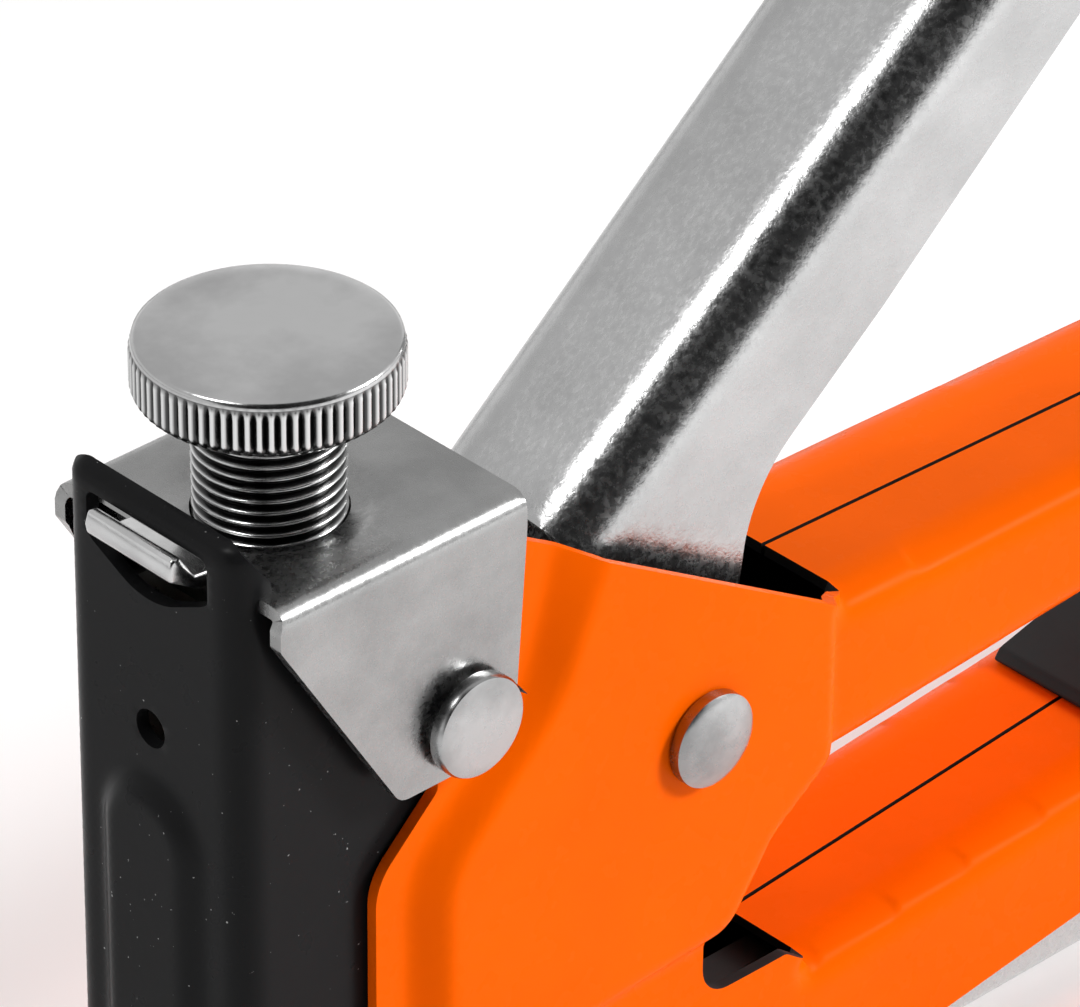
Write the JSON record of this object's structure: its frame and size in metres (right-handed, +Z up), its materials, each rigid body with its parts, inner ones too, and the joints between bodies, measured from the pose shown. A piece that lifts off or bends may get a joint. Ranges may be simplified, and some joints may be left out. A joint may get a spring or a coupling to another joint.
{
  "type": "staple gun",
  "caption": "Hand staple gun with pressed steel body, squeeze lever, knurled force adjuster, nose plate and slide-out staple magazine.",
  "frame": {"origin": "On the flat underside of the magazine channel, straight below the axis of the force adjuster.", "axes": "+X towards the tool's back, +Y to its right side, +Z up. The nose faces -X and the tool is symmetric about Y = 0."},
  "size_m": [0.1786, 0.0308, 0.148],
  "materials": {
    "orange_paint": "satin gloss powder coat",
    "black_paint": "satin gloss black coat",
    "nickel": "satin nickel plate",
    "chrome": "bright chrome plate with a fine grain",
    "steel": "bare steel",
    "zinc": "bright zinc plate",
    "black_plastic": "matte",
    "rubber": "matte"
  },
  "bodies": {
    "body": {"left_shell": "orange_paint", "right_shell": "orange_paint", "nose_plate": "black_paint", "top_cap": "nickel", "adjuster_nut": "steel", "inner_frame": "steel", "striker_bumper": "rubber", "main_spring": "steel", "front_pin": "zinc", "front_pin_ring": "steel", "handle_pin": "zinc", "handle_pin_ring": "steel", "return_spring": "steel", "middle_rivet": "zinc", "rear_rivet": "zinc", "magazine_channel": "zinc", "latch_pin": "zinc", "latch_spring": "steel", "grip_insert": "black_plastic"},
    "seat": {"spring_seat": "steel"},
    "knob": {"adjuster_knob": "nickel"},
    "driver": {"striker_block": "steel", "driver_blade": "steel"},
    "lever": {"handle_lever": "chrome", "claw_pin": "steel"},
    "claw": {"lifting_claw": "steel"},
    "rail": {"staple_rail": "zinc", "rail_end_plug": "black_plastic", "guide_rod": "steel", "staple_strip": "zinc", "pusher_spring": "steel"},
    "pusher": {"pusher": "zinc"},
    "latch": {"magazine_latch": "black_plastic"}
  },
  "joints": [
    {"name": "lever_swing", "type": "hinge", "parent": "body", "child": "lever", "pos_m": [0.0338, 0, 0.0493], "axis": [0, 1, 0], "range_deg": [0, 34], "stiffness_Nm_per_rad": 0.4, "springref_deg": -28.65},
    {"name": "driver_lift", "type": "slide", "parent": "body", "child": "driver", "axis": [0, 0, 1], "range_m": [0, 0.0158], "deforming": ["main_spring"]},
    {"name": "claw_swing", "type": "hinge", "parent": "lever", "child": "claw", "pos_m": [0.00877, 0, 0.03919], "axis": [0, 1, 0], "range_deg": [-34.5, 0.5]},
    {"name": "adjuster_feed", "type": "slide", "parent": "body", "child": "seat", "axis": [0, 0, 1], "range_m": [-0.004, 0]},
    {"name": "knob_turn", "type": "hinge", "parent": "seat", "child": "knob", "pos_m": [0, 0, 0.0896], "axis": [0, 0, 1], "range_deg": [-1441, 0]},
    {"name": "rail_pull", "type": "slide", "parent": "body", "child": "rail", "axis": [1, 0, 0], "range_m": [0, 0.12]},
    {"name": "pusher_slide", "type": "slide", "parent": "rail", "child": "pusher", "axis": [1, 0, 0], "range_m": [0, 0.05], "stiffness_N_per_m": 40, "springref_m": -0.06, "deforming": ["pusher_spring"]},
    {"name": "latch_press", "type": "hinge", "parent": "body", "child": "latch", "pos_m": [0.15, 0, 0.023], "axis": [0, 1, 0], "range_deg": [0, 10], "stiffness_Nm_per_rad": 0.05, "springref_deg": -17.19}
  ],
  "couplings": [
    {"joint": "driver_lift", "follows": "lever_swing", "m_per_rad": 0.0265},
    {"joint": "claw_swing", "follows": "lever_swing", "ratio": -1},
    {"joint": "knob_turn", "follows": "adjuster_feed", "rad_per_m": 6283.2}
  ]
}
